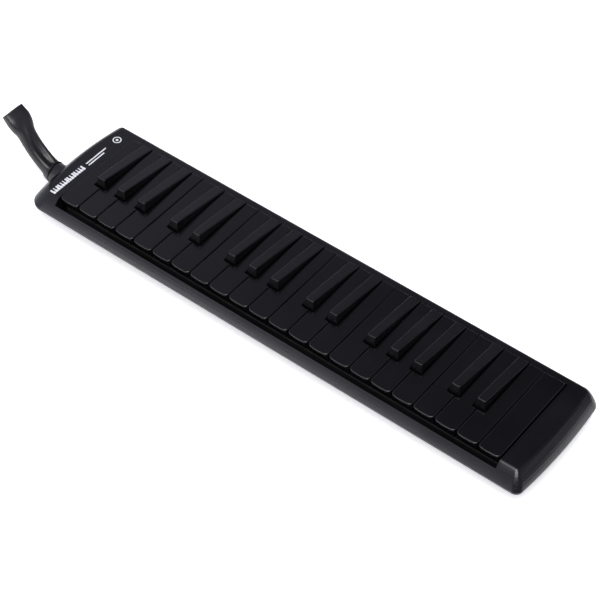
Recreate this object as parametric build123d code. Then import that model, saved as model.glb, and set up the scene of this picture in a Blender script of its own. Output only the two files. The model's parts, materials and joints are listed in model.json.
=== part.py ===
from build123d import *
from math import cos, radians, sin
import os

# A 37-key melodica, F to F.
# Origin: on the flat underside, midway along the casing and below the middle of the keyboard.
# +X runs from the bass end to the treble end, +Y from the player's side to the back, +Z up.

os.makedirs("parts", exist_ok=True)

# ---- driving dimensions, in millimetres ----
key_pitch = 19.6
natural_count = 22
key_gap = 0.9
key_front_y = -43.3
key_back_y = 45.4
shoulder_y = -14.8
key_top_z = 35.0
key_skirt_z = 26.0
key_wall = 1.5
key_plate = 2.0
front_bulge = 0.8
key_corner_radius = 3.4
lip_thickness = 2.3
lip_overhang = 2.4

sharp_width = 9.5
sharp_top_width = 6.9
sharp_clearance = 0.8
sharp_front_y = -13.4
sharp_nose_y = -11.8
sharp_nose_z = 43.0
sharp_heel_z = 36.0

axle_y = 30.0
axle_z = 23.2
axle_radius = 1.5
running_clearance = 0.05
hub_width = 6.4
hub_length = 7.0
hub_foot_z = 20.9

left_end_x = -245.4
left_corner_x = -241.0
right_end_x = 243.2
right_corner_x = 240.2
case_widest_y = -5.0
case_front_y = -54.2
case_back_y = 56.0
front_left_radius = 14.0
front_right_radius = 6.0
back_left_radius = 6.0
back_right_radius = 9.0
least_radius = 1.0
cover_foot_z = 20.7
cover_band_z = 22.0
cover_top_z = 33.5
crown_levels = 8
front_slope = 9.0
front_round = 3.5
end_slope = 5.5
end_round = 5.0
back_round = 5.2
crown_shrink = 6.0
shell_top_z = 20.3
wall = 2.2

well_half_length = 216.4
well_front_y = -48.3
well_back_y = 46.4
well_skirt = 1.8

block_top_z = 20.0
block_foot_z = 13.0
block_front_y = 1.5
block_back_y = 45.6
block_half_length = 215.0
chamber_width = 7.0
chamber_front_y = 15.0
chamber_back_y = 44.3
tone_hole_y = 42.0

chest_foot_z = 4.0
chest_top_z = 12.2
chest_wall = 1.5
chest_front_y = 2.0
chest_back_y = 42.5

mouth_y = -15.5
mouth_z = 23.0
spigot_radius = 6.5
socket_outer_radius = 9.4
socket_inner_x = -232.0
socket_face_x = -246.6

drain_x = 150.0
drain_y = 8.6

strap_x = 46.0
recess_half_length = 56.0
recess_front_y = -34.0
recess_back_y = -5.0
recess_height = 9.0

# How far each sharp stands to the right of the line between its two naturals.
sharp_offsets = {"f": -1.3, "g": 0.6, "a": 2.8, "c": -1.8, "d": 1.4}
note_names = ["f", "g", "a", "b", "c", "d", "e"]


def block(x0, x1, y0, y1, z0, z1):
    """A box between two corners."""
    return Pos((x0 + x1) / 2, (y0 + y1) / 2, (z0 + z1) / 2) * Box(x1 - x0, y1 - y0, z1 - z0)


def rod(x, y, z0, z1, radius):
    """An upright cylinder."""
    return Pos(x, y, (z0 + z1) / 2) * Cylinder(radius, z1 - z0)


def cross_rod(x0, x1, y, z, radius):
    """A cylinder along X."""
    return Pos((x0 + x1) / 2, y, z) * Rot(0, 90, 0) * Cylinder(radius, x1 - x0)


def side_prism(points, x0, x1):
    """A prism along X from a profile of (y, z) points."""
    profile = make_face(Polyline(*[(y, z) for y, z in points], close=True))
    return Plane((x0, 0, 0), x_dir=(0, 1, 0), z_dir=(1, 0, 0)) * extrude(profile, x1 - x0)


def case_outline(z, front, end, back, shrink):
    """The casing's plan shape at height z, drawn in from the rim on each side."""
    front_y = case_front_y + front
    back_y = case_back_y - back
    left_x = left_corner_x + end
    right_x = right_corner_x - end
    edges = [
        Line((left_x, front_y), (right_x, front_y)),
        ThreePointArc((right_x, front_y), (right_end_x - end, case_widest_y), (right_x, back_y)),
        Line((right_x, back_y), (left_x, back_y)),
        ThreePointArc((left_x, back_y), (left_end_x + end, case_widest_y), (left_x, front_y)),
    ]
    face = make_face(edges)
    corners = [
        (left_x, front_y, front_left_radius), (right_x, front_y, front_right_radius),
        (right_x, back_y, back_right_radius), (left_x, back_y, back_left_radius),
    ]
    for x, y, radius in corners:
        corner = face.vertices().sort_by_distance((x, y, 0))[0]
        face = fillet(corner, max(radius - shrink, least_radius))
    return Pos(0, 0, z) * face


def save(name, shape):
    export_step(shape, f"parts/{name}.step")


# ---- keys ----

def natural_layout():
    """Every natural as (name, centre x, note letter), from the bass end."""
    keys = []
    for index in range(natural_count):
        letter = note_names[index % len(note_names)]
        octave = 3 + (index + 3) // len(note_names)
        centre = (index - natural_count / 2 + 0.5) * key_pitch
        keys.append((f"natural_{letter}{octave}", centre, letter))
    return keys


def sharp_layout():
    """Every sharp as (name, centre x), from the bass end."""
    keys = []
    for name, centre, letter in natural_layout()[:-1]:
        if letter in sharp_offsets:
            x = centre + key_pitch / 2 + sharp_offsets[letter]
            keys.append((name.replace("natural", "sharp"), x))
    return keys


def stem_limits(index):
    """Left and right sides of a natural's stem, between the sharps beside it."""
    name, centre, letter = natural_layout()[index]
    left = centre - key_pitch / 2 + key_gap / 2
    right = centre + key_pitch / 2 - key_gap / 2
    half_cut = sharp_width / 2 + sharp_clearance
    before = note_names[(index - 1) % len(note_names)]
    if index > 0 and before in sharp_offsets:
        left = centre - key_pitch / 2 + sharp_offsets[before] + half_cut
    if index < natural_count - 1 and letter in sharp_offsets:
        right = centre + key_pitch / 2 + sharp_offsets[letter] - half_cut
    return left, right


def lever_parts(x):
    """The hub round the axle and the post that carries the valve pad."""
    hub = block(
        x - hub_width / 2, x + hub_width / 2,
        axle_y - hub_length / 2, axle_y + hub_length / 2,
        hub_foot_z, key_top_z - key_plate / 2,
    )
    post = block(x - 2.6, x + 2.6, tone_hole_y - 2.4, tone_hole_y + 2.4, 21.2, key_top_z - key_plate / 2)
    return hub + post


def valve_pad(x):
    return block(x - 2.9, x + 2.9, tone_hole_y - 2.6, tone_hole_y + 2.6, block_top_z + 0.05, 21.2)


def axle_bore(x):
    return cross_rod(x - 8, x + 8, axle_y, axle_z, axle_radius + running_clearance)


def natural_key(index):
    name, centre, letter = natural_layout()[index]
    left = centre - key_pitch / 2 + key_gap / 2
    right = centre + key_pitch / 2 - key_gap / 2
    stem_left, stem_right = stem_limits(index)
    corner_y = key_front_y + front_bulge
    points = [(right, corner_y)]
    if stem_right < right:
        points += [(right, shoulder_y), (stem_right, shoulder_y)]
    points += [(stem_right, key_back_y), (stem_left, key_back_y)]
    if stem_left > left:
        points += [(stem_left, shoulder_y), (left, shoulder_y)]
    points += [(left, corner_y)]
    nose = ThreePointArc((left, corner_y), (centre, key_front_y), (right, corner_y))
    face = make_face([*Polyline(*points).edges(), nose.edge()])
    body = Pos(0, 0, key_skirt_z) * extrude(face, key_top_z - key_skirt_z)
    front_corners = body.edges().filter_by(Axis.Z).group_by(Axis.Y)[0]
    body = fillet(front_corners, key_corner_radius)
    body = fillet(body.faces().sort_by(Axis.Z)[-1].edges(), 0.7)
    below_lip = block(
        left - 1, right + 1,
        key_front_y - 1, key_front_y + lip_overhang,
        key_skirt_z - 1, key_top_z - lip_thickness,
    )
    head_hollow = block(
        left + key_wall, right - key_wall,
        key_front_y + lip_overhang + key_wall, shoulder_y - key_wall,
        key_skirt_z - 1, key_top_z - key_plate,
    )
    stem_hollow = block(
        stem_left + key_wall, stem_right - key_wall,
        shoulder_y - 4, key_back_y - key_wall,
        key_skirt_z - 1, key_top_z - key_plate,
    )
    stem_x = (stem_left + stem_right) / 2
    body = body - below_lip - head_hollow - stem_hollow + lever_parts(stem_x) - axle_bore(stem_x)
    return Compound([body.solid(), valve_pad(stem_x).solid()]), stem_x


def sharp_key(x):
    """A wedge-shaped raised key, highest at its nose."""
    half = sharp_width / 2
    top_half = sharp_top_width / 2
    section = make_face(Polyline(
        (-half, key_skirt_z), (half, key_skirt_z), (half, key_top_z),
        (top_half, sharp_nose_z + 0.5), (-top_half, sharp_nose_z + 0.5), (-half, key_top_z),
        close=True,
    ))
    length = key_back_y - sharp_front_y
    bar = Plane((x, key_back_y, 0), x_dir=(1, 0, 0), z_dir=(0, -1, 0)) * extrude(section, length)
    side = side_prism([
        (sharp_front_y, key_skirt_z), (sharp_front_y, key_top_z), (sharp_nose_y, sharp_nose_z),
        (key_back_y - 1.0, sharp_heel_z), (key_back_y, key_top_z), (key_back_y, key_skirt_z),
    ], x - half - 1, x + half + 1)
    body = bar & side
    ridge = body.edges().filter_by(lambda edge: edge.center().Z > sharp_heel_z + 1)
    body = fillet(ridge, 0.8)
    hollow = block(
        x - half + key_wall, x + half - key_wall,
        sharp_front_y + 2.0, key_back_y - key_wall,
        key_skirt_z - 1, key_top_z - key_plate,
    )
    body = body - hollow + lever_parts(x) - axle_bore(x)
    return Compound([body.solid(), valve_pad(x).solid()])


lever_positions = []
for number, (node, centre, letter) in enumerate(natural_layout()):
    key, stem_x = natural_key(number)
    lever_positions.append(stem_x)
    save(node, key)
for node, x in sharp_layout():
    lever_positions.append(x)
    save(node, sharp_key(x))
lever_positions.sort()
first_lever = lever_positions[0]
last_lever = lever_positions[-1]


# ---- casing ----

def upper_cover_outside():
    """The upper cover's outside form as a solid: an upright band under a rounded crown."""
    rise = cover_top_z - cover_band_z
    levels = []
    for level in range(crown_levels + 1):
        angle = radians(90 * level / crown_levels)
        height = sin(angle)
        roundness = 1 - cos(angle)
        levels.append(case_outline(
            cover_band_z + rise * height,
            front_slope * height + front_round * roundness,
            end_slope * height + end_round * roundness,
            back_round * roundness,
            crown_shrink * roundness,
        ))
    crown = loft(levels, ruled=True)
    band_height = cover_band_z - cover_foot_z
    return crown + Pos(0, 0, -band_height) * extrude(levels[0], band_height)


def upper_cover(outside):
    hollow_low = case_outline(cover_band_z, 3.2, 3.0, 2.5, 2)
    hollow_high = case_outline(cover_top_z - wall, 12.5, 9.0, 6.0, 7)
    hollow = loft([hollow_low, hollow_high], ruled=True)
    rebate = Pos(0, 0, -5) * extrude(case_outline(cover_band_z, 2.4, 2.4, 2.4, 2), 5)
    skirt = block(
        -well_half_length - well_skirt, well_half_length + well_skirt,
        well_front_y - well_skirt, well_back_y + well_skirt,
        cover_foot_z, cover_top_z,
    )
    panel_seat = block(well_half_length, 236.5, -47.8, 50, 24, cover_top_z)
    seat_depth = outside & panel_seat
    seat_depth = seat_depth - Pos(0, 0, -4.2) * outside
    bosses = [rod(x, y, cover_foot_z + 1.5, cover_top_z - 1, 3.6) for x, y in case_screw_places]
    well = block(-well_half_length, well_half_length, well_front_y, well_back_y, 0, 50)
    cover = outside - hollow - rebate
    cover = cover + (skirt & outside) + seat_depth
    for boss in bosses:
        cover = cover + (boss & outside)
    cover = cover - well - panel_pocket(outside, 0.15)
    cover = cover - cross_rod(-260, socket_inner_x, mouth_y, mouth_z, socket_outer_radius + 0.05)
    for x, y in case_screw_places:
        cover = cover - rod(x, y, cover_foot_z, cover_foot_z + 8, 1.3)
    return cover


def panel_pocket(outside, clearance):
    """The space of the treble end panel, or of the recess that holds it."""
    field = block(217.9 - clearance, 234.4 + clearance, -47.7 - clearance, 50, 24, 50)
    slab = outside & field
    return slab - Pos(0, 0, -1.6 - clearance) * outside


case_screw_places = [(-222, -30), (-222, 31), (222, -30), (222, 31)]

outside = upper_cover_outside()
save("upper_cover", upper_cover(outside))
save("right_end_panel", panel_pocket(outside, 0))


def lower_shell():
    levels = [
        case_outline(shell_top_z, 0, 0, 0, 0),
        case_outline(18.9, 1.0, 1.0, 1.0, 0.5),
        case_outline(2.0, 15.5, 11.5, 15.5, 5),
        case_outline(0, 17.5, 13.0, 17.5, 6),
    ]
    outer = loft(levels, ruled=True)
    hollow = loft([
        case_outline(shell_top_z, 3.9, 3.9, 3.9, 2.5),
        case_outline(18.9, 3.9, 3.9, 3.9, 2.5),
        case_outline(wall, 18.2, 14.2, 18.2, 7),
    ], ruled=True)
    lip = extrude(case_outline(shell_top_z, 2.7, 2.7, 2.7, 2), 1.6)
    lip = lip - extrude(case_outline(shell_top_z, 3.9, 3.9, 3.9, 2.5), 1.6)
    shell = outer - hollow + lip
    recess_box = block(
        -recess_half_length - 2, recess_half_length + 2,
        recess_front_y - 2, recess_back_y + 2, 0.5, recess_height + 2,
    )
    natural_rib = block(-214, 214, -38, -34.5, 2, 19.5)
    sharp_rib = block(-214, 214, -8.5, -5.0, 1, 21.4)
    shell = shell + recess_box + natural_rib + sharp_rib
    for x, y in block_screw_places:
        shell = shell + rod(x, y, 1, 17, 3)
        shell = shell - rod(x, y, 6, 17, 1.3)
    for x, y in case_screw_places:
        shell = shell + rod(x, y, 0.5, cover_foot_z + 1.4, 3.6)
        shell = shell - rod(x, y, -1, 3.2, 3.0) - rod(x, y, -1, 30, 1.6)
    shell = shell - block(
        -recess_half_length, recess_half_length, recess_front_y, recess_back_y, -1, recess_height,
    )
    shell = shell - rod(drain_x, drain_y, -1, wall + 1, 5.2)
    return shell - cross_rod(-260, socket_inner_x, mouth_y, mouth_z, socket_outer_radius + 0.05)


block_screw_places = [(-185, -2.2), (-95, -2.2), (95, -2.2), (185, -2.2)]
save("lower_shell", lower_shell())


def pan_screw(x, y, head_z0, head_z1, tip_z, head_radius, shank_radius):
    """A screw with a pan head and a cross slot."""
    head_height = abs(head_z1 - head_z0)
    head = rod(x, y, min(head_z0, head_z1), max(head_z0, head_z1), head_radius)
    shank = rod(x, y, min(head_z0, tip_z), max(head_z0, tip_z), shank_radius)
    slot_z = head_z1
    slot = block(x - 1.6, x + 1.6, y - 0.4, y + 0.4, slot_z - head_height / 2, slot_z + head_height / 2)
    cross = block(x - 0.4, x + 0.4, y - 1.6, y + 1.6, slot_z - head_height / 2, slot_z + head_height / 2)
    return (head + shank - slot - cross).solid()


save("case_screws", Compound([pan_screw(x, y, 3.2, 1.2, 28.0, 2.8, 1.25) for x, y in case_screw_places]))
save("reed_block_screws", Compound([pan_screw(x, y, 20.0, 21.6, 8.0, 2.6, 1.25) for x, y in block_screw_places]))


# ---- key action ----

axle_start = first_lever - 7.0
axle_end = last_lever + 7.0
save("key_axle", cross_rod(axle_start, axle_end, axle_y, axle_z, axle_radius))


def axle_bearers():
    """Small upright plates between the key hubs, each with a hole for the axle."""
    places = [first_lever - 5.5]
    for i in range(4, len(lever_positions) - 3, 4):
        places.append((lever_positions[i - 1] + lever_positions[i]) / 2)
    places.append(last_lever + 5.5)
    plates = []
    for x in places:
        plate = block(x - 1.1, x + 1.1, axle_y - 3, axle_y + 3, block_top_z, 25.7)
        plates.append((plate - cross_rod(x - 2, x + 2, axle_y, axle_z, axle_radius + 0.02)).solid())
    return Compound(plates)


save("axle_bearers", axle_bearers())


def spring_comb():
    """A strip of spring steel with a finger rising under every key."""
    comb = block(first_lever - 4, last_lever + 4, 16, 22, block_top_z, block_top_z + 0.4)
    for x in lever_positions:
        finger = side_prism([(17, 20.0), (17, 20.4), (2.0, 30.8), (2.0, 30.3), (16.2, 20.0)], x - 1.5, x + 1.5)
        comb = comb + finger
    return comb


save("spring_comb", spring_comb())

natural_felt = block(-213, 213, -37.9, -34.6, 19.5, 21.3)
sharp_felt = block(-213, 213, -8.4, -5.1, 21.4, 23.2)
save("key_stop_felts", Compound([natural_felt.solid(), sharp_felt.solid()]))


# ---- reeds and wind way ----

def reed_length(index):
    """Bass reeds are long, treble reeds short."""
    return 24.0 - 14.0 * index / (len(lever_positions) - 1)


def reed_block():
    body = block(-block_half_length, block_half_length - 3, block_front_y, block_back_y, block_foot_z, block_top_z)
    for x, y in block_screw_places:
        body = body + block(x - 5, x + 5, -4.9, block_front_y + 1, 17, block_top_z)
    cuts = [rod(x, y, 10, 30, 1.4) for x, y in block_screw_places]
    for x in lever_positions:
        half = chamber_width / 2
        cuts.append(block(x - half, x + half, chamber_front_y, chamber_back_y, block_foot_z - 1, block_top_z - 2))
        cuts.append(block(x - 2.0, x + 2.0, tone_hole_y - 1.7, tone_hole_y + 1.7, 15, block_top_z + 1))
    return body - cuts


save("reed_block", reed_block())


def reed_plates():
    """Two brass plates under the block, with a slot for every reed."""
    middle = (lever_positions[18] + lever_positions[19]) / 2
    spans = [(first_lever - 4.5, middle - 0.3), (middle + 0.3, last_lever + 4.5)]
    plates = [block(x0, x1, 13, 40.5, 12, block_foot_z) for x0, x1 in spans]
    slots = []
    for index, x in enumerate(lever_positions):
        slots.append(block(x - 1.3, x + 1.3, 18.5, 18.5 + reed_length(index) - 3, 11, 14))
    return Compound([(plate - slots).solid() for plate in plates])


def reeds():
    tongues = []
    for index, x in enumerate(lever_positions):
        length = reed_length(index)
        tongue = block(x - 1.1, x + 1.1, 15.5, 15.5 + length - 0.3, 11.75, 12)
        tongues.append((tongue + rod(x, 17, 11.1, 12, 1.0)).solid())
    return Compound(tongues)


save("reed_plates", reed_plates())
save("reeds", reeds())


def chest_profile(inset):
    """Cross-section of the wind chest: a trough with a bevelled back corner."""
    return [
        (chest_front_y + inset, chest_top_z + inset * 2), (chest_back_y - inset, chest_top_z + inset * 2),
        (chest_back_y - inset, 9.5 - inset * 0.4), (37.0 - inset * 0.4, chest_foot_z + inset),
        (chest_front_y + inset, chest_foot_z + inset),
    ]


def wind_chest():
    trough = side_prism(chest_profile(0), -block_half_length, block_half_length - 3)
    inside = side_prism(
        chest_profile(chest_wall), -block_half_length + chest_wall, block_half_length - 3 - chest_wall,
    )
    inlet = block(-217, -212, 13, 20, 6.5, 11.5)
    return trough - inside - inlet - rod(drain_x, drain_y, 3, 6, 3.2)


def chest_gasket():
    ring = block(
        -block_half_length, block_half_length - 3, chest_front_y, chest_back_y, chest_top_z, block_foot_z,
    )
    return ring - block(
        -block_half_length + chest_wall, block_half_length - 3 - chest_wall,
        chest_front_y + chest_wall, chest_back_y - chest_wall, chest_top_z - 1, block_foot_z + 1,
    )


save("wind_chest", wind_chest())
save("chest_gasket", chest_gasket())


def wind_elbow():
    """The hollow box that leads the breath from the socket down to the chest."""
    outer = block(-231.9, -219.6, -25, 21.5, 14.5, 30.0) + block(-226, -215.1, 11, 21.5, 5.0, 16)
    inner = block(-230.4, -221.1, -23.5, 20, 16, 28.5) + block(-224.5, -216, 12.5, 20, 6.5, 14)
    inner = inner + block(-224.5, -221.1, 12.5, 20, 6.5, 20) + block(-217, -215, 13, 20, 6.5, 11.5)
    return outer - inner - cross_rod(-235, -229, mouth_y, mouth_z, spigot_radius - 1)


save("wind_elbow", wind_elbow())


# ---- mouthpiece ----

def mouthpiece_socket():
    tube = cross_rod(socket_face_x, socket_inner_x, mouth_y, mouth_z, socket_outer_radius)
    bore = cross_rod(-260, socket_inner_x + 1.8, mouth_y, mouth_z, spigot_radius + running_clearance)
    return tube - bore - cross_rod(-260, -220, mouth_y, mouth_z, 5.0)


save("mouthpiece_socket", mouthpiece_socket())

# Stations along the mouthpiece: x, z, rise of the centreline in degrees, then the width and
# thickness of the outside, and of the air way inside it.
stations = [
    (-246.9, 23.0, 0, 19.6, 19.6, 8.4, 8.4),
    (-250.4, 24.6, 30, 18.4, 16.0, 9.0, 8.0),
    (-257.0, 29.0, 38, 16.6, 12.8, 10.0, 6.6),
    (-266.0, 37.0, 46, 16.2, 12.0, 10.4, 5.8),
    (-273.5, 46.5, 56, 16.2, 12.0, 10.4, 5.8),
    (-278.5, 55.0, 58, 18.6, 12.0, 12.0, 5.4),
    (-283.0, 61.0, 50, 21.4, 10.4, 14.0, 4.6),
    (-290.0, 68.0, 45, 20.4, 8.0, 15.0, 3.6),
]


def mouthpiece_section(x, z, rise, width, thickness):
    """An ellipse across the centreline."""
    plane = Plane((x, mouth_y, z), x_dir=(0, 1, 0), z_dir=Vector(-1, 0, 0).rotate(Axis.Y, rise))
    return plane * Ellipse(width / 2, thickness / 2)


def mouthpiece():
    outer = loft([mouthpiece_section(*station[:5]) for station in stations], ruled=True)
    inner = loft([mouthpiece_section(*station[:3], *station[5:]) for station in stations], ruled=True)
    spigot = cross_rod(stations[0][0] - 1, -234.6, mouth_y, mouth_z, spigot_radius)
    groove = cross_rod(-241.2, -239.6, mouth_y, mouth_z, spigot_radius + 1)
    groove = groove - cross_rod(-241.2, -239.6, mouth_y, mouth_z, 5.2)
    air_way = cross_rod(stations[0][0], -230, mouth_y, mouth_z, stations[0][5] / 2)
    return outer + spigot - inner - groove - air_way


save("mouthpiece", mouthpiece())
seal = Pos(-240.4, mouth_y, mouth_z) * Rot(0, 90, 0) * Torus(5.83, 0.6)
save("mouthpiece_seal", seal)


# ---- drain valve ----

def drain_button():
    """A push button in the underside; pushing it up lifts the valve off its seat."""
    cap = rod(drain_x, drain_y, 0.3, 1.8, 4.9)
    cap = chamfer(cap.edges().group_by(Axis.Z)[0], 0.5)
    stem = rod(drain_x, drain_y, 1.5, 6.3, 2.4)
    disc = rod(drain_x, drain_y, 6.3, 7.3, 4.6)
    return cap + stem + disc


save("drain_button", drain_button())
seal_ring = rod(drain_x, drain_y, 5.52, 6.3, 4.5) - rod(drain_x, drain_y, 5, 7, 3.3)
save("drain_seal", seal_ring)
coil_path = Pos(drain_x, drain_y, 7.6) * Helix(1.55, 5.0, 3.6)
coil_section = Plane(coil_path @ 0, z_dir=coil_path % 0) * Circle(0.28)
save("drain_spring", sweep(coil_section, path=coil_path, is_frenet=True))


# ---- hand strap in the underside ----

def hand_strap():
    """A flat band that hangs just inside the recess, its ends turned up into the anchors."""
    centre_y = (recess_front_y + recess_back_y) / 2
    band = block(-strap_x, strap_x, centre_y - 9, centre_y + 9, 0.8, 2.2)
    for side in (-1, 1):
        x0 = min(side * strap_x, side * (strap_x - 1.4))
        band = band + block(x0, x0 + 1.4, centre_y - 9, centre_y + 9, 0.8, recess_height - 1.5)
    return band


def strap_anchors():
    centre_y = (recess_front_y + recess_back_y) / 2
    anchors = []
    for side in (-1, 1):
        x0 = min(side * (strap_x + 0.02), side * (recess_half_length - 2))
        x1 = max(side * (strap_x + 0.02), side * (recess_half_length - 2))
        plate = block(x0, x1, centre_y - 10, centre_y + 10, recess_height - 3, recess_height)
        anchors.append(plate.solid())
    return Compound(anchors)


save("hand_strap", hand_strap())
save("strap_anchors", strap_anchors())
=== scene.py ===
import json
import math
import bpy
import bmesh
from mathutils import Matrix, Vector


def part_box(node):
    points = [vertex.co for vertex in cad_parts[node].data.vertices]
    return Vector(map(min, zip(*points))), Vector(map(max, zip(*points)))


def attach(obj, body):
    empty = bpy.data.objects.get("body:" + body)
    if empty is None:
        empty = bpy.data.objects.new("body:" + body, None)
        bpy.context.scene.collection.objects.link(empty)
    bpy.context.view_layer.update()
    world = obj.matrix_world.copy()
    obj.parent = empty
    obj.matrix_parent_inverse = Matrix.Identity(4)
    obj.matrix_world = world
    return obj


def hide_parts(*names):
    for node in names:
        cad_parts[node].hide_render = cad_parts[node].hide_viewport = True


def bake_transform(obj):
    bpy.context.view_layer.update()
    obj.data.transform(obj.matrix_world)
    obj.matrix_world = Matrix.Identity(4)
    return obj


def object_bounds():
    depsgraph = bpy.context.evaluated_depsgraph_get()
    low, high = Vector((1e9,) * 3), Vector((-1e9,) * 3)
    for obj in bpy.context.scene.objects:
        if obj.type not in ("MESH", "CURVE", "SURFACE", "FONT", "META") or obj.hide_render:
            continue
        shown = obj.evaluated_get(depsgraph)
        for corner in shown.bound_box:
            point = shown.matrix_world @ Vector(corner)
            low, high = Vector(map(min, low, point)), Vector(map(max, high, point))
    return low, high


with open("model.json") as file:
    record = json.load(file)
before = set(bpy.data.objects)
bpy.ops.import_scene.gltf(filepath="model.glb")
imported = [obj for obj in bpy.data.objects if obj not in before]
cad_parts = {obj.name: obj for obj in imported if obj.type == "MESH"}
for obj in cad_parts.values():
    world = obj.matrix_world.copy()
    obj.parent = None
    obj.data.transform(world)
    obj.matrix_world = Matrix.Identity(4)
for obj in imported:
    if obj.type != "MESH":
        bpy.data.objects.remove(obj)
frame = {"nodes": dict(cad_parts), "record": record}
cad_low, cad_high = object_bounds()

MM = 0.001
nodes = frame["nodes"]
record = frame["record"]
slot_of = {part["node"]: part["material_slot"] for part in record["subparts"]}


# ---- materials ----

class Nodes:
    """Short calls for building one material's nodes."""

    def __init__(self, name):
        self.material = bpy.data.materials.new(name)
        self.material.use_nodes = True
        self.tree = self.material.node_tree
        self.shader = self.tree.nodes["Principled BSDF"]
        self.place = self.tree.nodes.new("ShaderNodeTexCoord").outputs["Object"]

    def link(self, source, target):
        self.tree.links.new(source, target)

    def stretched(self, scale):
        """The object's own coordinates, stretched by a scale on each axis."""
        mapping = self.tree.nodes.new("ShaderNodeMapping")
        mapping.inputs["Scale"].default_value = scale
        self.link(self.place, mapping.inputs["Vector"])
        return mapping.outputs["Vector"]

    def noise(self, scale, detail=3.0, roughness=0.5, place=None):
        node = self.tree.nodes.new("ShaderNodeTexNoise")
        node.inputs["Scale"].default_value = scale
        node.inputs["Detail"].default_value = detail
        node.inputs["Roughness"].default_value = roughness
        self.link(place or self.place, node.inputs["Vector"])
        return node.outputs["Fac"]

    def cells(self, scale, place=None):
        node = self.tree.nodes.new("ShaderNodeTexVoronoi")
        node.inputs["Scale"].default_value = scale
        self.link(place or self.place, node.inputs["Vector"])
        return node.outputs["Distance"]

    def wave(self, scale, axis, distortion=0.0):
        node = self.tree.nodes.new("ShaderNodeTexWave")
        node.bands_direction = axis
        node.inputs["Scale"].default_value = scale
        node.inputs["Distortion"].default_value = distortion
        self.link(self.place, node.inputs["Vector"])
        return node.outputs["Fac"]

    def edges(self):
        """Bright where the surface is sharply convex."""
        return self.tree.nodes.new("ShaderNodeNewGeometry").outputs["Pointiness"]

    def remap(self, value, low, high, out_low, out_high):
        node = self.tree.nodes.new("ShaderNodeMapRange")
        node.inputs["From Min"].default_value = low
        node.inputs["From Max"].default_value = high
        node.inputs["To Min"].default_value = out_low
        node.inputs["To Max"].default_value = out_high
        self.link(value, node.inputs["Value"])
        return node.outputs["Result"]

    def math(self, operation, first, second):
        node = self.tree.nodes.new("ShaderNodeMath")
        node.operation = operation
        for socket, value in zip(node.inputs, (first, second)):
            if isinstance(value, float):
                socket.default_value = value
            else:
                self.link(value, socket)
        return node.outputs["Value"]

    def mix(self, factor, first, second):
        """A colour between two, each a colour or another node's output."""
        node = self.tree.nodes.new("ShaderNodeMix")
        node.data_type = "RGBA"
        self.link(factor, node.inputs[0])
        for socket, value in ((node.inputs[6], first), (node.inputs[7], second)):
            if isinstance(value, tuple):
                socket.default_value = (*value, 1.0)
            else:
                self.link(value, socket)
        return node.outputs[2]

    def colour(self, source):
        self.link(source, self.shader.inputs["Base Color"])

    def roughness(self, source):
        self.link(source, self.shader.inputs["Roughness"])

    def bump(self, height, depth, strength=1.0):
        node = self.tree.nodes.new("ShaderNodeBump")
        node.inputs["Distance"].default_value = depth
        node.inputs["Strength"].default_value = strength
        self.link(height, node.inputs["Height"])
        self.link(node.outputs["Normal"], self.shader.inputs["Normal"])

    def set(self, **values):
        for name, value in values.items():
            self.shader.inputs[name.replace("_", " ")].default_value = value


RUBS_ALONG_Y = (900, 60, 60)


def black_plastic(name, colour, roughness, grain, grain_depth, along=RUBS_ALONG_Y):
    """Moulded black plastic: cloudy gloss, a fine grain, hairline rubs and a little dust."""
    n = Nodes(name)
    clouds = n.noise(22, detail=4)
    fine = n.noise(grain, detail=2)
    rubs = n.noise(1.0, detail=6, roughness=0.7, place=n.stretched(along))
    dust = n.cells(420)
    lighter = tuple(min(1.0, c * 1.7) for c in colour)
    body = n.mix(n.remap(clouds, 0.35, 0.7, 0, 1), colour, lighter)
    rubbed = tuple(c * 3 + 0.004 for c in colour)
    worn = n.mix(n.remap(n.edges(), 0.52, 0.62, 0, 0.35), body, rubbed)
    specks = n.math("MULTIPLY", n.remap(dust, 0.03, 0.05, 0.25, 0.0), n.remap(clouds, 0.5, 0.6, 0, 1))
    n.colour(n.mix(specks, worn, (0.05, 0.05, 0.055)))
    base = n.remap(clouds, 0.3, 0.7, roughness * 0.85, roughness * 1.15)
    n.roughness(n.math("ADD", base, n.remap(rubs, 0.55, 0.75, 0, 0.06)))
    n.bump(n.math("ADD", fine, n.math("MULTIPLY", rubs, 0.15)), grain_depth)
    return n.material


def metal(name, colour, roughness, along=(8, 300, 300)):
    """Drawn or rolled metal with fine lines along X."""
    n = Nodes(name)
    lines = n.noise(1.0, detail=5, roughness=0.7, place=n.stretched(along))
    stains = n.noise(60, detail=4)
    darker = tuple(c * 0.6 for c in colour)
    n.colour(n.mix(n.remap(stains, 0.4, 0.7, 0, 0.6), colour, darker))
    n.roughness(n.remap(lines, 0.3, 0.7, roughness * 0.7, roughness * 1.4))
    n.bump(lines, 0.00002)
    n.set(Metallic=1.0)
    return n.material


def soft_black(name, colour, roughness, scale):
    """Rubber or felt: matt, with a fine irregular nap."""
    n = Nodes(name)
    nap = n.noise(scale, detail=6, roughness=0.65)
    lighter = tuple(min(1.0, c * 1.8) for c in colour)
    n.colour(n.mix(n.remap(nap, 0.35, 0.7, 0, 1), colour, lighter))
    n.roughness(n.remap(nap, 0.3, 0.7, roughness * 0.9, min(1.0, roughness * 1.1)))
    n.bump(nap, 0.0001)
    n.set(Sheen_Weight=0.2)
    return n.material


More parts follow.
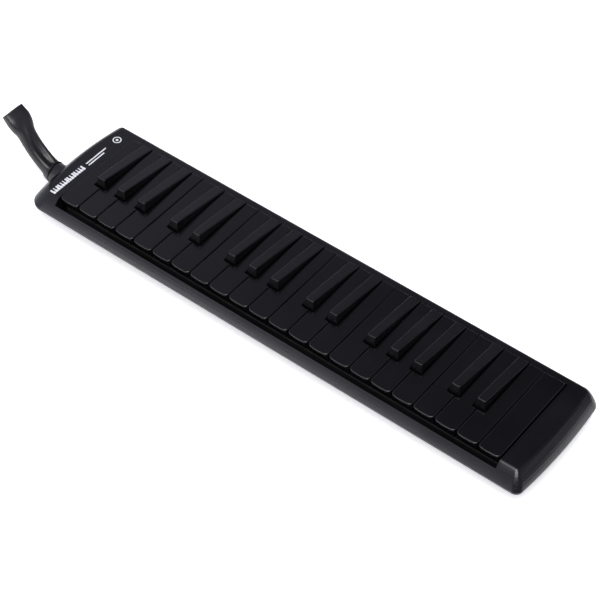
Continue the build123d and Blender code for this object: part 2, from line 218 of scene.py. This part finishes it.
def webbing():
    """Black woven strap: ribs across it and a twill between them."""
    n = Nodes("strap_webbing")
    across = n.wave(420, "X")
    lengthwise = n.wave(300, "Y", distortion=0.6)
    weave = n.math("MULTIPLY", across, lengthwise)
    fuzz = n.noise(1500, detail=3)
    n.colour(n.mix(n.remap(weave, 0.1, 0.8, 0, 1), (0.008, 0.008, 0.009), (0.03, 0.03, 0.033)))
    n.roughness(n.remap(fuzz, 0.3, 0.7, 0.75, 0.95))
    n.bump(n.math("ADD", weave, n.math("MULTIPLY", fuzz, 0.3)), 0.00025)
    n.set(Sheen_Weight=0.3)
    return n.material


def white_ink():
    n = Nodes("white_ink")
    wear = n.noise(900, detail=4)
    n.colour(n.mix(n.remap(wear, 0.3, 0.65, 0, 1), (0.62, 0.63, 0.66), (0.86, 0.87, 0.9)))
    n.roughness(n.remap(wear, 0.3, 0.7, 0.35, 0.55))
    n.bump(wear, 0.00002)
    return n.material


def pale_floor():
    n = Nodes("pale_floor")
    cloud = n.noise(1.5, detail=2)
    n.colour(n.mix(cloud, (0.93, 0.93, 0.93), (0.96, 0.96, 0.96)))
    n.roughness(n.remap(cloud, 0.3, 0.7, 0.8, 0.9))
    n.set(Specular_IOR_Level=0.1, Emission_Color=(1, 1, 1, 1), Emission_Strength=0.5)
    return n.material


KEY_BLACK = (0.0012, 0.0012, 0.0015)
COVER_BLACK = (0.0014, 0.0014, 0.0019)
PANEL_BLACK = (0.0013, 0.0013, 0.0018)
SHELL_BLACK = (0.004, 0.004, 0.0045)
RUBS_ALONG_X = (60, 900, 60)

slot_materials = {
    "natural_key": black_plastic("natural_gloss", KEY_BLACK, 0.20, 1400, 0.000008),
    "sharp_key": black_plastic("sharp_gloss", KEY_BLACK, 0.24, 1400, 0.000010),
    "upper_case": black_plastic("cover_satin", COVER_BLACK, 0.26, 2200, 0.00002),
    "end_panel": black_plastic("panel_satin", PANEL_BLACK, 0.26, 2200, 0.00002, RUBS_ALONG_X),
    "lower_case": black_plastic("shell_texture", SHELL_BLACK, 0.45, 2600, 0.00006),
    "steel": metal("ground_steel", (0.55, 0.55, 0.57), 0.25),
    "inner_plastic": black_plastic("inner_plastic", (0.03, 0.03, 0.033), 0.45, 1800, 0.00003),
    "brass": metal("milled_brass", (0.72, 0.52, 0.22), 0.3),
    "reed_metal": metal("rolled_brass", (0.78, 0.6, 0.3), 0.22),
    "rubber": soft_black("seal_rubber", (0.012, 0.012, 0.012), 0.7, 900),
    "socket_plastic": black_plastic("socket_satin", (0.003, 0.003, 0.0035), 0.4, 2400, 0.00003),
    "mouthpiece_plastic": black_plastic("mouthpiece_satin", (0.005, 0.005, 0.006), 0.36, 2400, 0.00003),
    "felt": soft_black("stop_felt", (0.006, 0.006, 0.006), 0.95, 1200),
    "spring_steel": metal("spring_steel", (0.5, 0.5, 0.52), 0.3, along=(300, 8, 300)),
    "button_plastic": black_plastic("button_satin", (0.01, 0.01, 0.011), 0.4, 2000, 0.00003),
    "screw_steel": metal("black_screw", (0.06, 0.06, 0.065), 0.35),
    "webbing": webbing(),
}
for name, node in nodes.items():
    node.data.materials.clear()
    node.data.materials.append(slot_materials[slot_of[name]])


# ---- helpers for new pieces ----

def add_piece(name, mesh_builder, body, slot, material=None):
    """Makes an object from a bmesh, smooth shaded, riding on a CAD body unless body is None.

    It wears its slot's material unless it is given one of its own.
    """
    mesh = bpy.data.meshes.new(name)
    bmesh.ops.recalc_face_normals(mesh_builder, faces=mesh_builder.faces)
    mesh_builder.to_mesh(mesh)
    mesh_builder.free()
    piece = bpy.data.objects.new(name, mesh)
    bpy.context.scene.collection.objects.link(piece)
    mesh.materials.append(material or slot_materials[slot])
    for face in mesh.polygons:
        face.use_smooth = True
    if body:
        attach(piece, body)
    return piece


def bridge_rings(builder, rings, closed=False):
    """Quads between each ring of vertices and the next."""
    pairs = list(zip(rings, rings[1:]))
    if closed:
        pairs.append((rings[-1], rings[0]))
    for first, second in pairs:
        count = len(first)
        for i in range(count):
            j = (i + 1) % count
            builder.faces.new((first[i], first[j], second[j], second[i]))


def cap_ends(builder, rings):
    """A face over the first ring and one over the last."""
    builder.faces.new(list(reversed(rings[0])))
    builder.faces.new(rings[-1])


def smooth_between(values, t):
    """A Catmull-Rom value at t from 0 to 1 through evenly numbered values."""
    last = len(values) - 1
    place = min(max(t, 0.0), 1.0) * last
    i = min(int(place), last - 1)
    f = place - i
    before = values[max(i - 1, 0)]
    start, end = values[i], values[i + 1]
    after = values[min(i + 2, last)]
    return 0.5 * (
        2 * start + (end - before) * f
        + (2 * before - 5 * start + 4 * end - after) * f * f
        + (3 * start - before - 3 * end + after) * f * f * f
    )


# ---- mouthpiece ----

# Along the mouthpiece from the collar to the tip, in millimetres from the socket's centre:
# reach away from the casing, rise, width, thickness, depth of the groove on top, and squareness.
MOUTH_STATIONS = [
    (0.3, 0.0, 19.6, 19.6, 0.0, 2.0),
    (3.4, 1.3, 19.0, 17.6, 0.6, 2.0),
    (6.4, 3.4, 16.8, 14.0, 2.2, 2.1),
    (12.4, 7.6, 16.2, 12.8, 3.2, 2.2),
    (19.4, 14.0, 16.2, 12.0, 3.4, 2.2),
    (25.2, 21.0, 16.2, 11.8, 3.2, 2.2),
    (29.6, 28.0, 16.6, 11.8, 2.2, 2.3),
    (32.8, 33.6, 20.4, 11.6, 1.2, 2.6),
    (36.4, 38.4, 22.0, 10.4, 0.2, 3.2),
    (40.0, 41.8, 21.2, 9.0, 0.0, 3.8),
    (43.4, 45.0, 20.4, 8.0, 0.0, 4.2),
]
# Width and thickness of the air way, at even steps from the collar to the tip.
AIR_WAY = [
    (8.4, 8.4), (9.0, 7.4), (9.6, 6.4), (10.0, 5.6), (10.4, 5.0), (12.0, 4.6), (14.0, 4.0), (15.0, 3.6),
]
AIR_WAY_SQUARENESS = 2.4
GROOVE_SPREAD = 0.2
RING_POINTS = 64
# The spigot, from its hidden end to the collar's face: millimetres inside the socket's face, and radius.
SPIGOT = [
    (12.2, 4.2), (12.2, 6.1), (11.9, 6.45), (7.3, 6.5), (7.2, 5.3), (5.8, 5.3), (5.7, 6.5),
    (0.25, 6.5), (0.0, 6.8), (0.0, 9.4),
]
OUTER_STEPS = 72
INNER_STEPS = 24


def mouth_frame(t):
    """Centre, tangent and upward normal of the mouthpiece's centreline at t."""
    socket_low, socket_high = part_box("mouthpiece_socket")
    root = Vector((socket_low.x, (socket_low.y + socket_high.y) / 2, (socket_low.z + socket_high.z) / 2))

    def point(s):
        reach = smooth_between([station[0] for station in MOUTH_STATIONS], s)
        rise = smooth_between([station[1] for station in MOUTH_STATIONS], s)
        return root + Vector((-reach, 0, rise)) * MM

    step = 0.01
    tangent = (point(min(t + step, 1)) - point(max(t - step, 0))).normalized()
    if t < 0.02:
        tangent = Vector((-1, 0, 0))
    normal = Vector((tangent.z, 0, -tangent.x))
    return point(t), tangent, normal


def oblong(width, thickness, square, angle):
    """A point of a superellipse, in millimetres."""
    c, s = math.cos(angle), math.sin(angle)
    across = math.copysign(abs(c) ** (2 / square), c) * width / 2
    up = math.copysign(abs(s) ** (2 / square), s) * thickness / 2
    return across, up


def mouth_ring(builder, t, shrink=0.0, push=0.0):
    """One ring of the mouthpiece's outside, with the groove pressed into its upper side."""
    centre, tangent, normal = mouth_frame(t)
    width, thickness, groove, square = (
        smooth_between([station[k] for station in MOUTH_STATIONS], t) for k in (2, 3, 4, 5)
    )
    ring = []
    for i in range(RING_POINTS):
        angle = 2 * math.pi * i / RING_POINTS
        across, up = oblong(width - 2 * shrink, thickness - 2 * shrink, square, angle)
        if up > 0:
            up -= groove * math.exp(-((across / (GROOVE_SPREAD * width)) ** 2))
        offset = Vector((0, across, 0)) + normal * up + tangent * push
        ring.append(builder.verts.new(centre + offset * MM))
    return ring


def air_ring(builder, t, grow=0.0, push=0.0):
    """One ring of the air way inside the mouthpiece."""
    centre, tangent, normal = mouth_frame(t)
    width = smooth_between([size[0] for size in AIR_WAY], t)
    thickness = smooth_between([size[1] for size in AIR_WAY], t)
    ring = []
    for i in range(RING_POINTS):
        angle = 2 * math.pi * i / RING_POINTS
        across, up = oblong(width + grow, thickness + grow, AIR_WAY_SQUARENESS, angle)
        offset = Vector((0, across, 0)) + normal * up + tangent * push
        ring.append(builder.verts.new(centre + offset * MM))
    return ring


def round_ring(builder, x, radius):
    """A ring round the spigot, x millimetres inside the socket's face."""
    centre, tangent, normal = mouth_frame(0)
    ring = []
    for i in range(RING_POINTS):
        angle = 2 * math.pi * i / RING_POINTS
        offset = Vector((x, math.cos(angle) * radius, math.sin(angle) * radius))
        ring.append(builder.verts.new(centre + offset * MM))
    return ring


def make_mouthpiece():
    """A closed skin: spigot, outside, rounded tip, then back down the air way."""
    builder = bmesh.new()
    rings = [round_ring(builder, x, radius) for x, radius in SPIGOT]
    rings += [mouth_ring(builder, 0.004 + 0.98 * k / OUTER_STEPS) for k in range(OUTER_STEPS + 1)]
    rings += [mouth_ring(builder, 1.0, shrink, push) for shrink, push in ((0.06, -0.5), (0.25, -0.15), (0.7, 0))]
    rings += [air_ring(builder, 1.0, grow, push) for grow, push in ((0.9, 0), (0.3, -0.2), (0, -0.7))]
    rings += [air_ring(builder, 0.97 * (1 - k / INNER_STEPS)) for k in range(INNER_STEPS + 1)]
    bridge_rings(builder, rings, closed=True)
    piece = add_piece("mouthpiece_body", builder, "mouthpiece", "mouthpiece_plastic")
    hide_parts("mouthpiece")


make_mouthpiece()


# ---- hand strap in the underside ----

STRAP_THICKNESS = 1.3 * MM
STRAP_BEND = 3.0 * MM
STRAP_BOW = 0.35 * MM
STRAP_CLEARANCE = 0.05 * MM
BEND_STEPS = 6
SPAN_STEPS = 24
SIDE_STEPS = 12
SELVEDGE_START = 0.8
BODY_TO_SELVEDGE = 0.82


def strap_route(low, high):
    """The band's middle line as (x, z): up, round a bend, along the recess, round, and up again."""
    half = STRAP_THICKNESS / 2
    line_z = low.z + STRAP_CLEARANCE + half
    turn_z = line_z + STRAP_BEND
    left_x = low.x + half + STRAP_BEND
    right_x = high.x - half - STRAP_BEND
    route = [(low.x + half, high.z)]
    for k in range(BEND_STEPS + 1):
        angle = math.pi * (1 + k / BEND_STEPS / 2)
        route.append((left_x + STRAP_BEND * math.cos(angle), turn_z + STRAP_BEND * math.sin(angle)))
    for k in range(1, SPAN_STEPS):
        t = k / SPAN_STEPS
        x = low.x + STRAP_BEND + (high.x - low.x - 2 * STRAP_BEND) * t
        route.append((x, line_z + STRAP_BOW * math.sin(math.pi * t)))
    for k in range(BEND_STEPS + 1):
        angle = math.pi * (k / BEND_STEPS - 1) / 2
        route.append((right_x + STRAP_BEND * math.cos(angle), turn_z + STRAP_BEND * math.sin(angle)))
    route.append((high.x - half, high.z))
    return route


def strap_profile(half_width):
    """The band's cross-section as (y, height): thicker along both selvedges."""
    half = STRAP_THICKNESS / 2
    upper = []
    for k in range(SIDE_STEPS + 1):
        u = 2 * k / SIDE_STEPS - 1
        upper.append((u * half_width, half * (BODY_TO_SELVEDGE if abs(u) < SELVEDGE_START else 1.0)))
    return upper + [(y, -z) for y, z in reversed(upper)]


def make_strap():
    """Woven band with thick selvedges, bowed slightly, its ends turned up to the anchors."""
    low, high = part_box("hand_strap")
    centre_y = (low.y + high.y) / 2
    route = strap_route(low, high)
    profile = strap_profile((high.y - low.y) / 2)
    builder = bmesh.new()
    rings = []
    for i, (x, z) in enumerate(route):
        before = route[max(i - 1, 0)]
        after = route[min(i + 1, len(route) - 1)]
        tangent = Vector((after[0] - before[0], 0, after[1] - before[1])).normalized()
        normal = Vector((-tangent.z, 0, tangent.x))
        rings.append([builder.verts.new(Vector((x, centre_y + y, z)) + normal * h) for y, h in profile])
    bridge_rings(builder, rings)
    cap_ends(builder, rings)
    piece = add_piece("hand_strap_webbing", builder, "case", "webbing")
    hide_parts("hand_strap")


make_strap()


# ---- drain spring ----

WIRE_RADIUS = 0.28 * MM
COIL_TURNS = 3.2
COIL_STEPS = 96
WIRE_POINTS = 10


def make_drain_spring():
    """A coil standing between the button and the block above it."""
    low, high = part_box("drain_spring")
    middle = (low + high) / 2
    radius = (high.x - low.x) / 2 - WIRE_RADIUS
    rise = high.z - low.z - 2 * WIRE_RADIUS
    builder = bmesh.new()
    rings = []
    for k in range(COIL_STEPS + 1):
        t = k / COIL_STEPS
        around = 2 * math.pi * COIL_TURNS * t
        outward = Vector((math.cos(around), math.sin(around), 0))
        centre = Vector((middle.x, middle.y, low.z + WIRE_RADIUS + rise * t)) + outward * radius
        ring = []
        for i in range(WIRE_POINTS):
            angle = 2 * math.pi * i / WIRE_POINTS
            offset = outward * math.cos(angle) + Vector((0, 0, math.sin(angle)))
            ring.append(builder.verts.new(centre + offset * WIRE_RADIUS))
        rings.append(ring)
    bridge_rings(builder, rings)
    cap_ends(builder, rings)
    piece = add_piece("drain_spring_coil", builder, None, slot_of["drain_spring"])
    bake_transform(piece)
    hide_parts("drain_spring")


make_drain_spring()


# ---- printed mark on the bass end panel: a strip of small keys, two bars and a ring ----

def flat_shape(builder, outline, z, height):
    """A thin slab of ink from an outline of (x, y) points."""
    bottom = [builder.verts.new((x, y, z)) for x, y in outline]
    top = [builder.verts.new((x, y, z + height)) for x, y in outline]
    bridge_rings(builder, [bottom, top])
    builder.faces.new(list(reversed(bottom)))
    builder.faces.new(top)


def circle(cx, cy, radius, points):
    """The points of a circle."""
    turns = [2 * math.pi * i / points for i in range(points)]
    return [(cx + radius * math.cos(angle), cy + radius * math.sin(angle)) for angle in turns]


def bar(x0, x1, y0, y1):
    """The corners of a rectangle."""
    return [(x0, y0), (x1, y0), (x1, y1), (x0, y1)]


INK = 0.05 * MM
PRINT_FROM_KEYS = 9.6 * MM
STRIP_FROM_KEY_FRONT = 1.5 * MM
STRIP_KEYS = 14
STRIP_STEP = 2.72 * MM
STRIP_GAP = 0.4 * MM
STRIP_HALF_WIDTH = 2.7 * MM
NOTCH_DEPTH = 0.7 * MM
NOTCH_EDGE = 0.2 * MM
BARS_START = 42 * MM
BAR_LENGTHS = (24 * MM, 19 * MM)
BAR_STEP = 2.8 * MM
BAR_FIRST = -0.9 * MM
BAR_HALF_WIDTH = 0.6 * MM
RING_FROM_KEY_BACK = 8 * MM
RING_OUTER, RING_INNER, RING_DOT = 3.8 * MM, 2.9 * MM, 1.2 * MM


def print_key_strip(builder, middle_x, start_y, z):
    """A row of small white keys, notched where black ones would stand."""
    near, notch, far = middle_x - STRIP_HALF_WIDTH, middle_x + NOTCH_EDGE, middle_x + STRIP_HALF_WIDTH
    for k in range(STRIP_KEYS):
        y0 = start_y + k * STRIP_STEP
        y1 = y0 + STRIP_STEP - STRIP_GAP
        before = 0 if k % 7 in (0, 3) else NOTCH_DEPTH
        after = 0 if k % 7 in (2, 6) else NOTCH_DEPTH
        outline = [
            (near, y0 + before), (notch, y0 + before), (notch, y0), (far, y0),
            (far, y1), (notch, y1), (notch, y1 - after), (near, y1 - after),
        ]
        flat_shape(builder, outline, z, INK)


def print_ring(builder, x, y, z):
    """A ring with a dot in its middle."""
    outer = circle(x, y, RING_OUTER, 48)
    inner = circle(x, y, RING_INNER, 48)
    loops = []
    for outline, height in ((outer, 0), (outer, INK), (inner, INK), (inner, 0)):
        loops.append([builder.verts.new((px, py, z + height)) for px, py in outline])
    bridge_rings(builder, loops, closed=True)
    flat_shape(builder, circle(x, y, RING_DOT, 24), z, INK)


def make_print():
    """White ink on the panel left of the keys."""
    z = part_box("upper_cover")[1].z
    key_low, key_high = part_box("natural_f3")
    middle_x = key_low.x - PRINT_FROM_KEYS
    start_y = key_low.y + STRIP_FROM_KEY_FRONT
    builder = bmesh.new()
    print_key_strip(builder, middle_x, start_y, z)
    for k, length in enumerate(BAR_LENGTHS):
        x = middle_x + BAR_FIRST + k * BAR_STEP
        y = start_y + BARS_START
        flat_shape(builder, bar(x - BAR_HALF_WIDTH, x + BAR_HALF_WIDTH, y, y + length), z, INK)
    print_ring(builder, middle_x, key_high.y - RING_FROM_KEY_BACK, z)
    piece = add_piece("panel_print", builder, "case", "upper_case", white_ink())
    for face in piece.data.polygons:
        face.use_smooth = False


make_print()


# ---- floor, light and camera ----

FLOOR_HALF_WIDTH = 4.0
FLOOR_GAP = 0.2 * MM


def make_floor():
    builder = bmesh.new()
    bmesh.ops.create_grid(builder, x_segments=2, y_segments=2, size=FLOOR_HALF_WIDTH)
    mesh = bpy.data.meshes.new("floor")
    builder.to_mesh(mesh)
    builder.free()
    floor = bpy.data.objects.new("floor", mesh)
    floor.location.z = cad_low.z - FLOOR_GAP
    mesh.materials.append(pale_floor())
    bpy.context.scene.collection.objects.link(floor)


def soft_box(name, direction, distance, size, brightness):
    """A square area light aimed at the object; brightness is how white its face looks."""
    lamp = bpy.data.lights.new(name, "AREA")
    lamp.shape = "RECTANGLE"
    lamp.size, lamp.size_y = size
    lamp.energy = brightness * math.pi * size[0] * size[1]
    box = bpy.data.objects.new(name, lamp)
    box.location = Vector(direction).normalized() * distance
    box.rotation_mode = "QUATERNION"
    box.rotation_quaternion = (-box.location).to_track_quat("-Z", "Y")
    bpy.context.scene.collection.objects.link(box)


# How bright the studio looks in each direction: the position is how far the direction leans
# towards the bass end's side (0 away from it, 1 towards it).
STUDIO_TONES = [(0.0, 0.32), (0.2, 0.16), (0.42, 0.07), (0.50, 0.20), (0.58, 0.46), (1.0, 0.85)]
STUDIO_LEAN = (-0.913, -0.235, -0.335)


def make_world():
    """Grey studio air, darkest above the treble end."""
    world = bpy.data.worlds.new("studio")
    world.use_nodes = True
    tree = world.node_tree
    background = tree.nodes["Background"]
    place = tree.nodes.new("ShaderNodeTexCoord")
    lean = tree.nodes.new("ShaderNodeVectorMath")
    lean.operation = "DOT_PRODUCT"
    lean.inputs[1].default_value = STUDIO_LEAN
    spread = tree.nodes.new("ShaderNodeMapRange")
    spread.inputs["From Min"].default_value = -1.0
    spread.inputs["From Max"].default_value = 1.0
    ramp = tree.nodes.new("ShaderNodeValToRGB")
    stops = ramp.color_ramp.elements
    for position, tone in STUDIO_TONES[1:-1]:
        stops.new(position)
    for stop, (position, tone) in zip(stops, STUDIO_TONES):
        stop.color = (tone * 0.97, tone * 0.97, tone * 1.2, 1)
    tree.links.new(place.outputs["Generated"], lean.inputs[0])
    tree.links.new(lean.outputs["Value"], spread.inputs["Value"])
    tree.links.new(spread.outputs["Result"], ramp.inputs["Fac"])
    tree.links.new(ramp.outputs["Color"], background.inputs["Color"])
    background.inputs["Strength"].default_value = 1.0
    bpy.context.scene.world = world


AZIMUTH = math.radians(38.15)
ELEVATION = math.radians(47.92)
CAMERA_DISTANCE = 1.5
AIM_RIGHT = 26.05 * MM
AIM_UP = 15.31 * MM
LENS_MM = 117.44


def make_camera():
    """Looks down on the keys from the player's side, towards the bass end."""
    low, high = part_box("natural_f3")
    anchor = Vector((0, low.y, high.z))
    back = Vector((
        math.sin(AZIMUTH) * math.cos(ELEVATION),
        -math.cos(AZIMUTH) * math.cos(ELEVATION),
        math.sin(ELEVATION),
    ))
    right = Vector((math.cos(AZIMUTH), math.sin(AZIMUTH), 0))
    up = back.cross(right)
    camera = bpy.data.cameras.new("camera")
    camera.lens = LENS_MM
    camera.sensor_width = 36
    camera.clip_start = 0.05
    camera.clip_end = 50
    view = bpy.data.objects.new("camera", camera)
    turn = Matrix((right, up, back)).transposed().to_4x4()
    place = anchor + right * AIM_RIGHT + up * AIM_UP + back * CAMERA_DISTANCE
    view.matrix_world = Matrix.Translation(place) @ turn
    bpy.context.scene.collection.objects.link(view)
    bpy.context.scene.camera = view


make_floor()
soft_box("top_light", (0.25, -0.35, 1.0), 1.5, (1.1, 1.1), 7.0)
soft_box("front_left_light", (-0.40, -0.88, 0.22), 1.7, (0.9, 0.36), 4.0)
soft_box("right_light", (0.8, 0.5, 0.4), 1.9, (0.9, 0.6), 0.3)
make_world()
make_camera()
bpy.context.scene.view_settings.view_transform = "Standard"
